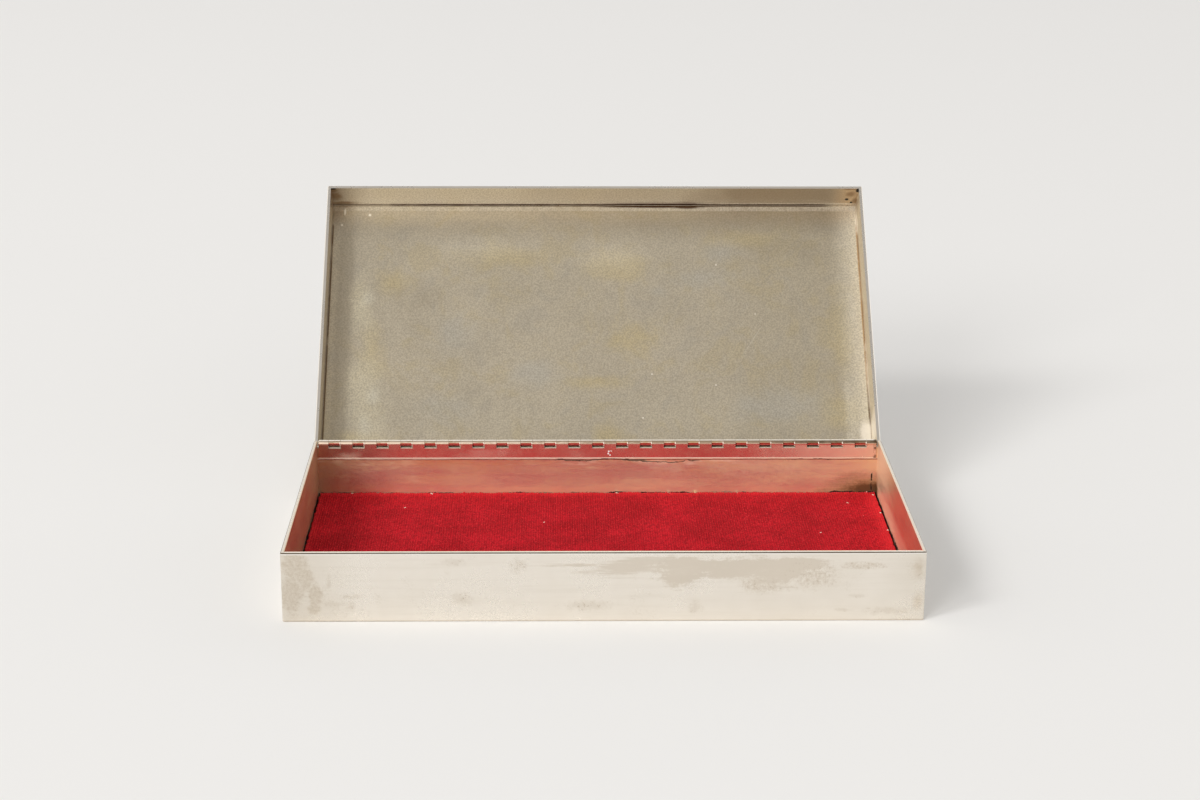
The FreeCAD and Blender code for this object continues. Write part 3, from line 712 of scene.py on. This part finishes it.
def slot_marks(look):
    """Layers of the lid's knuckles in their slots: painted shade from below their middle, a painted shadow at
    their left end, a painted highlight at their right end, over a ledge painted pale and matt as a painted
    highlight.

    Gives the layers, the painted shade and shadow, and how far they take the metal's shine."""
    facing = look.fade(look.behind, 0.00092, 0.00080)
    # Painted shade on the lid's knuckles below their middle.
    under = look.times(look.fade(look.drop, 0.00022, 0.00042), look.barrel, look.of_lid, facing,
                       look.fade(look.cloud, 0.3, 0.6, 0.8, 1.0))
    # A painted shadow at the left end of each of the lid's knuckles.
    left_end_shadow = look.times(look.barrel, look.fade(look.across, -0.00150, -0.00168), look.of_lid, facing,
                     look.fade(look.drop, -0.0004, -0.0001))
    # A painted highlight at the right end of each of the lid's knuckles.
    right_end_highlight = look.times(look.barrel, look.fade(look.across, 0.00160, 0.00172), look.of_lid,
                     look.band(look.drop, 0.0001, 0.0007, 0.0002))
    # The ledge is painted pale and matt: a painted highlight.
    ledge = look.times(look.band(look.drop, NOTCH_DROP, 0.00005, 0.00003), look.of_lid)
    layers = [(look.times(under, 0.94), (0.03, 0.018, 0.008)),
              (left_end_shadow, (0.02, 0.012, 0.006)),
              (right_end_highlight, (0.95, 0.88, 0.76)),
              (ledge, (0.97, 0.90, 0.75))]
    return layers, look.most(under, left_end_shadow), look.most(look.times(right_end_highlight, 0.7), look.times(ledge, 0.85))


def hinge_silver():
    """Leaves, knuckles and pin."""
    look = HingeLook("silver_hinge")
    barrel, crest_highlight, dull_and_shaded = barrel_marks(look)
    leaf, leaf_matt = leaf_marks(look)
    slots, dark, slot_matt = slot_marks(look)
    end = look.times(look.fade(look.x, 0.0921, 0.0927), look.fade(look.small, 0.38, 0.52))
    solder = look.patch(look.place, LEAF_SOLDER, look.small, 1.6, 0.3)
    colour = look.stain(LEAF_METAL, (look.fade(look.small, 0.45, 0.75, 0.0, 0.12), TARNISH),
                        *barrel, *leaf, *slots,
                        (look.times(end, 0.8), (0.10, 0.05, 0.02)),
                        (solder, (0.95, 0.95, 0.92)))
    metal = look.math("SUBTRACT", 0.95, look.most(leaf_matt, slot_matt, look.times(solder, 0.9),
                                                  look.times(crest_highlight, 0.85)))
    rough = look.moved(look.fade(look.cloud, 0.3, 0.7, 0.20, 0.28), look.most(dark, dull_and_shaded), 0.35)
    return look.finish(Base_Color=colour, Metallic=metal, Roughness=rough)


# ------------------------------------------------------------------------------------------------ the lining

def card():
    look = Look("card")
    fibre = look.noise(0.0008, 4, 0.7, stretch=(3, 1, 1), seed=31)
    colour = look.blend(fibre, (0.05, 0.025, 0.015), (0.12, 0.07, 0.045))
    return look.finish(Base_Color=colour, Roughness=0.9, Normal=look.bump(fibre, 0.4, 0.0001))


def red_velvet():
    """Short red pile in fine ribs from front to back, with painted shade between the ribs and painted glints
    on the pile, its nap brushed into lighter and darker patches, with lint and crumbs on it."""
    look = Look("velvet")
    nap = look.noise(0.014, 4, 0.60, distort=0.5, seed=61)
    tuft = look.noise(0.0012, 4, 0.75, stretch=(1, 1.5, 1), seed=62)
    pile = look.noise(0.00055, 3, 0.7, stretch=(1, 1.5, 1), seed=63)
    ribs = look.math("SINE", look.math("MULTIPLY", look.x, 2 * math.pi / RIB))
    # Painted shade between the ribs.
    furrow_shade = look.times(look.fade(ribs, -0.9, 0.5, 1.0, 0.0), look.fade(nap, 0.3, 0.65, 1.0, 0.45))
    cut_edge = look.most(look.fade(look.y, 0.0455, 0.0500), look.fade(look.x, 0.088, 0.0932),
                         look.fade(look.x, -0.0905, -0.0932, 0.0, 0.4))
    lint = look.most(
        look.times(look.fade(look.cells(0.0042, seed=64), 0.075, 0.045), look.fade(nap, 0.46, 0.62)),
        look.times(look.fade(look.cells(0.0021, seed=65), 0.14, 0.09), look.fade(look.y, 0.0480, 0.0497),
                   look.fade(tuft, 0.42, 0.5)))
    deep = look.times(look.fade(look.moved(look.y, nap, 0.02), 0.030, -0.035),
                      look.band(look.moved(look.x, nap, 0.03), 0.035, 0.035, 0.045))
    colour = look.blend(look.fade(nap, 0.30, 0.70), (0.47, 0.005, 0.013), (0.67, 0.011, 0.025))
    colour = look.stain(colour,
                        (look.times(furrow_shade, 0.60), (0.22, 0.002, 0.006)),
                        (look.fade(tuft, 0.44, 0.62, 0.0, 0.66), (0.24, 0.003, 0.008)),
                        # Painted glints on the pile.
                        (look.fade(pile, 0.52, 0.64, 0.0, 0.66), (0.92, 0.050, 0.058)),
                        (look.times(deep, 0.42), (0.28, 0.003, 0.009)),
                        (look.times(cut_edge, 0.45), SCARLET),
                        (look.times(lint, 0.75), (0.85, 0.62, 0.56)),
                        (look.patch(look.place, CRUMBS, tuft, 1.4, 0.3), (0.95, 0.86, 0.74)))
    return look.finish(Base_Color=colour, Roughness=0.85, Sheen_Weight=0.26, Sheen_Roughness=0.35,
                       Sheen_Tint=(1.0, 0.16, 0.17), Specular_IOR_Level=0.05,
                       Normal=look.bump(tuft, 0.5, 0.0004, look.bump(pile, 0.6, 0.0003)))


# How the velvet is uneven. Its cut edges wave at three scales, each (reach, waves along an edge, layer of the
# noise). They wave about a line a little inside its plain slab, at the back a little beyond it, and its sides
# reach at most FRAY_LIMIT beyond the slab.
EDGE_WAVES = ((0.00018, 40, 0), (0.00016, 300, 5), (0.00012, 900, 8))
EDGE_INSET = 0.0001
BACK_REACH = 0.00015
SIDE_FRAY = 1.7
FRAY_LIMIT = 0.0004
RIB_HEIGHT = 0.00008
NAP_HEIGHT = 0.00012
FRAY_HEIGHT = 0.00022
EDGE_DROP = 0.0003
LIP_HEIGHT = 0.00045
VELVET_ROWS = 110
COLUMNS_PER_RIB = 6


def uneven(*place):
    return noise.noise(Vector(place))


def cut_line(t, seed):
    """How far a cut edge strays at t, from 0 to 1 along it."""
    return sum(reach * uneven(t * waves, seed, layer) for reach, waves, layer in EDGE_WAVES)


def velvet_point(s, t):
    """A point of the velvet's top, s from left to right and t from front to back."""
    left = max(velvet_low.x + EDGE_INSET + SIDE_FRAY * cut_line(t, 1.0), velvet_low.x - FRAY_LIMIT)
    right = min(velvet_high.x - EDGE_INSET + SIDE_FRAY * cut_line(t, 2.0), velvet_high.x + FRAY_LIMIT)
    front = velvet_low.y + EDGE_INSET + cut_line(s, 3.0)
    back = velvet_high.y + BACK_REACH + cut_line(s, 4.0)
    x, y = left + (right - left) * s, front + (back - front) * t
    inset = min(x - left, right - x, y - front, back - y)
    ribs = RIB_HEIGHT * math.sin(2 * math.pi * x / RIB)
    nap = NAP_HEIGHT * uneven(x * 70, y * 50, 2.0)
    frayed = FRAY_HEIGHT * uneven(x * 900, y * 900, 3.0) * max(0.0, 1 - inset / 0.0015)
    drop = EDGE_DROP * max(0.0, 1 - inset / 0.0004) ** 2
    # Along the back the pile climbs the wall.
    climb = 0.8 + 0.45 * uneven(x * 150, 0.0, 9.0) + 0.5 * uneven(x * 1100, 0.0, 4.0)
    lip = LIP_HEIGHT * max(0.0, 1 - (back - y) / 0.0035) * climb
    return x, y, velvet_high.z + ribs + nap + frayed + lip - drop


def velvet_piece():
    """The lining: a closed sheet whose top is ribbed from front to back, its cut edges slightly uneven."""
    columns = int((velvet_high.x - velvet_low.x) / RIB) * COLUMNS_PER_RIB
    rows = VELVET_ROWS
    width = columns + 1
    vertices = [velvet_point(i / columns, j / rows) for j in range(rows + 1) for i in range(width)]
    corners = [j * width + i for j in range(rows) for i in range(columns)]
    faces = [(a, a + 1, a + 1 + width, a + width) for a in corners]
    # The sides hang from a ring round the top, and the bottom closes them.
    ring = list(range(width))
    ring += [j * width + columns for j in range(1, rows + 1)]
    ring += [rows * width + i for i in range(columns - 1, -1, -1)]
    ring += [j * width for j in range(rows - 1, 0, -1)]
    base = len(vertices)
    count = len(ring)
    vertices += [(vertices[k][0], vertices[k][1], velvet_low.z + 0.00002) for k in ring]
    faces += [(ring[(k + 1) % count], ring[k], base + k, base + (k + 1) % count) for k in range(count)]
    faces.append([base + k for k in range(count - 1, -1, -1)])
    mesh = bpy.data.meshes.new("velvet")
    mesh.from_pydata(vertices, [], faces)
    mesh.update()
    for polygon in mesh.polygons:
        polygon.use_smooth = True
    piece = bpy.data.objects.new("velvet", mesh)
    bpy.context.scene.collection.objects.link(piece)
    return piece


# ------------------------------------------------------------------------------------------------- assembly

WALLS = ("front_wall", "back_wall", "left_wall", "right_wall")
dress(base_silver(), *[f"base_{wall}" for wall in WALLS], "base_bottom_plate")
dress(lid_silver(), *[f"lid_{wall}" for wall in WALLS], "lid_top_plate")
dress(hinge_silver(), "base_hinge_leaf", "lid_hinge_leaf", "hinge_pin")
dress(card(), "lining_card")

velvet = velvet_piece()
velvet.data.materials.append(red_velvet())
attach(velvet, "base")
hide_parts("velvet_lining")


# --------------------------------------------------------------------------------- floor, lights and camera

FLOOR_COLOUR = (0.86, 0.855, 0.845)
FLOOR_CORNERS = [(-6, -4, 0), (6, -4, 0), (6, 8, 0), (-6, 8, 0)]

# The room's colours by the sine of the height above the horizon, and its strength.
ROOM_COLOURS = ((0.0, (1.0, 0.99, 0.975)), (0.40, (0.96, 0.95, 0.935)), (0.75, (0.56, 0.55, 0.54)),
                (0.90, (0.40, 0.39, 0.38)))
ROOM_STRENGTH = 1.06

# Two soft lights from the left, aimed at the origin: each its place and power.
LIGHTS = {"key": ((-5.9, -4.13, 5.36), 245.0), "second_key": ((-4.08, -7.06, 3.8), 235.0)}
LIGHT_SIDE = 2.6
LIGHT_COLOUR = (1.0, 0.99, 0.975)

# The photograph's own view, found by fitting the box's edges.
CAMERA_PLACE = (-0.0145364, -0.7034006, 0.2741959)
CAMERA_RIGHT = Vector((0.99981818, -0.01842388, 0.00491660))
CAMERA_FORWARD = Vector((0.01904957, 0.95352410, -0.30071401))
CAMERA_LENS = 71.3348


def make_floor():
    look = Look("floor")
    mesh = bpy.data.meshes.new("floor")
    mesh.from_pydata(FLOOR_CORNERS, [], [(0, 1, 2, 3)])
    mesh.materials.append(look.finish(Base_Color=FLOOR_COLOUR, Roughness=0.9, Specular_IOR_Level=0.1))
    floor = bpy.data.objects.new("floor", mesh)
    bpy.context.scene.collection.objects.link(floor)


def make_world():
    """A pale room, brightest near the horizon, with a dim warm ceiling."""
    world = bpy.data.worlds.new("room")
    world.use_nodes = True
    tree = world.node_tree
    background = tree.nodes["Background"]
    place = tree.nodes.new("ShaderNodeTexCoord")
    split = tree.nodes.new("ShaderNodeSeparateXYZ")
    ramp = tree.nodes.new("ShaderNodeValToRGB")
    tree.links.new(place.outputs["Generated"], split.inputs[0])
    tree.links.new(split.outputs["Z"], ramp.inputs[0])
    tree.links.new(ramp.outputs[0], background.inputs[0])
    elements = ramp.color_ramp.elements
    elements.remove(elements[1])
    elements[0].position = ROOM_COLOURS[0][0]
    elements[0].color = (*ROOM_COLOURS[0][1], 1)
    for position, colour in ROOM_COLOURS[1:]:
        elements.new(position).color = (*colour, 1)
    background.inputs["Strength"].default_value = ROOM_STRENGTH
    bpy.context.scene.world = world


def make_light(name, place, power):
    light = bpy.data.lights.new(name, "AREA")
    light.shape = "RECTANGLE"
    light.size = LIGHT_SIDE
    light.size_y = LIGHT_SIDE
    light.energy = power
    light.color = LIGHT_COLOUR
    holder = bpy.data.objects.new(name, light)
    holder.location = place
    holder.rotation_euler = (-Vector(place)).to_track_quat("-Z", "Y").to_euler()
    bpy.context.scene.collection.objects.link(holder)


def make_camera():
    up = CAMERA_RIGHT.cross(CAMERA_FORWARD)
    turn = Matrix((CAMERA_RIGHT, up, -CAMERA_FORWARD)).transposed().to_4x4()
    data = bpy.data.cameras.new("camera")
    data.sensor_fit = "HORIZONTAL"
    data.sensor_width = 36
    data.lens = CAMERA_LENS
    data.clip_start = 0.01
    data.clip_end = 100
    camera = bpy.data.objects.new("camera", data)
    camera.matrix_world = Matrix.Translation(CAMERA_PLACE) @ turn
    bpy.context.scene.collection.objects.link(camera)
    bpy.context.scene.camera = camera


make_floor()
make_world()
for name, (place, power) in LIGHTS.items():
    make_light(name, place, power)
make_camera()
bpy.context.scene.view_settings.view_transform = "Standard"
